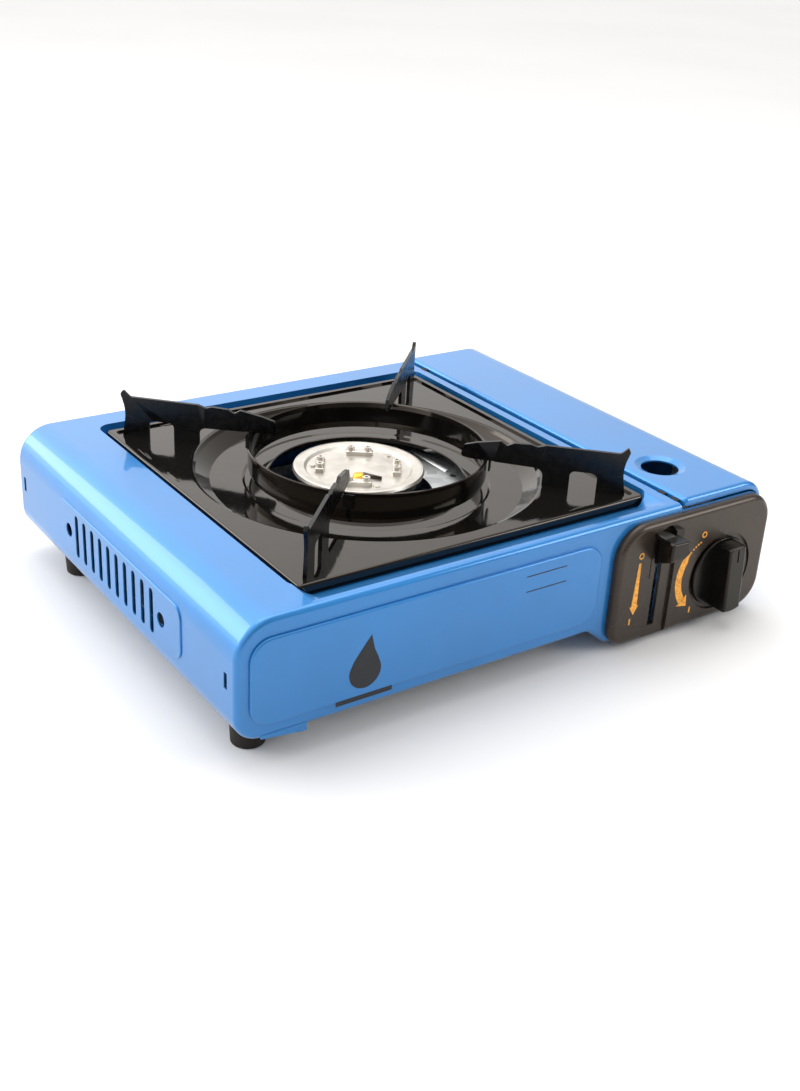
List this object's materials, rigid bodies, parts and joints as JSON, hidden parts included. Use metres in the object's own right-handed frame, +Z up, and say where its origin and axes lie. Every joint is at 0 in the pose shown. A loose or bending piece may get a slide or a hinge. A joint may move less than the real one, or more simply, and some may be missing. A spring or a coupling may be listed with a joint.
{
  "type": "camping stove",
  "caption": "Portable tabletop gas stove with a lift-off enamelled pan, four pot supports, a side cartridge bay with hinged lid, a lock lever and a control knob.",
  "frame": {"origin": "centre of the object's bounding box, on the ground plane under its feet", "axes": "+X to the right along the front, +Y from the control panel to the back, +Z up"},
  "size_m": [0.34, 0.282, 0.1028],
  "materials": {
    "blue_paint": "glossy baked enamel paint",
    "black_enamel": "glossy vitreous enamel",
    "galvanised": "bright galvanised sheet",
    "bright_steel": "polished stainless",
    "aluminium": "mill finish",
    "die_cast": "as cast zinc",
    "brass": "machined",
    "copper": "drawn copper tube",
    "dark_steel": "heat-blackened steel",
    "panel_plastic": "fine satin moulding",
    "gloss_plastic": "gloss moulding",
    "rubber": "matte",
    "ceramic": "glazed",
    "lead_sleeve": "silicone sleeve",
    "igniter_plastic": "moulded"
  },
  "bodies": {
    "case": {"front_panel": "blue_paint", "upper_case": "blue_paint", "back_panel": "blue_paint", "foot_front_left": "rubber", "foot_back_left": "rubber", "foot_front_right": "rubber", "foot_back_right": "rubber", "lid_buffers": "rubber", "base_plate": "galvanised", "tank_wall": "galvanised", "heat_shield": "galvanised", "cartridge_tray": "galvanised", "cartridge_cradle": "galvanised", "heat_strip": "aluminium", "control_panel": "panel_plastic", "panel_screws": "bright_steel", "hinge_pins": "bright_steel", "burner_bowl": "aluminium", "burner_cap": "bright_steel", "burner_ports": "bright_steel", "pilot_cap": "brass", "spark_horn": "dark_steel", "burner_screws": "bright_steel", "burner_bracket": "galvanised", "mixing_tube": "galvanised", "air_shutter": "galvanised", "gas_jet": "brass", "gas_pipe": "copper", "spark_rod": "dark_steel", "spark_insulator": "ceramic", "spark_bracket": "galvanised", "regulator_body": "die_cast", "regulator_diaphragm": "rubber", "regulator_cap": "galvanised", "regulator_spring": "bright_steel", "regulator_screws": "bright_steel", "inlet_nozzle": "brass", "inlet_seal": "rubber", "regulator_bracket": "galvanised", "igniter": "igniter_plastic", "ignition_lead": "lead_sleeve", "carriage_guide": "galvanised"},
    "lid": {"lid_panel": "blue_paint"},
    "knob": {"knob": "gloss_plastic", "valve_spindle": "bright_steel", "igniter_cam": "galvanised"},
    "lever": {"lever_handle": "gloss_plastic", "lever_link": "galvanised"},
    "carriage": {"cartridge_carriage": "galvanised"},
    "pan": {"drip_pan": "black_enamel", "burner_ring": "black_enamel", "ring_hooks": "black_enamel", "pot_support_back_left": "black_enamel", "pot_support_back_right": "black_enamel", "pot_support_front_left": "black_enamel", "pot_support_front_right": "black_enamel"}
  },
  "joints": [
    {"name": "lid_hinge", "type": "hinge", "parent": "case", "child": "lid", "pos_m": [0.163, 0, 0.05], "axis": [0, 1, 0], "range_deg": [0, 100]},
    {"name": "knob_turn", "type": "hinge", "parent": "case", "child": "knob", "pos_m": [0.1344, -0.128, 0.0321], "axis": [0, -1, 0], "range_deg": [0, 120]},
    {"name": "lock_lever", "type": "slide", "parent": "case", "child": "lever", "axis": [0, 0, -1], "range_m": [0, 0.034]},
    {"name": "carriage_slide", "type": "slide", "parent": "case", "child": "carriage", "axis": [0, -1, 0], "range_m": [0, 0.006]},
    {"name": "pan_lift", "type": "slide", "parent": "case", "child": "pan", "axis": [0, 0, 1], "range_m": [0, 0.05]}
  ],
  "couplings": [
    {"joint": "carriage_slide", "follows": "lock_lever", "ratio": 0.17647}
  ]
}
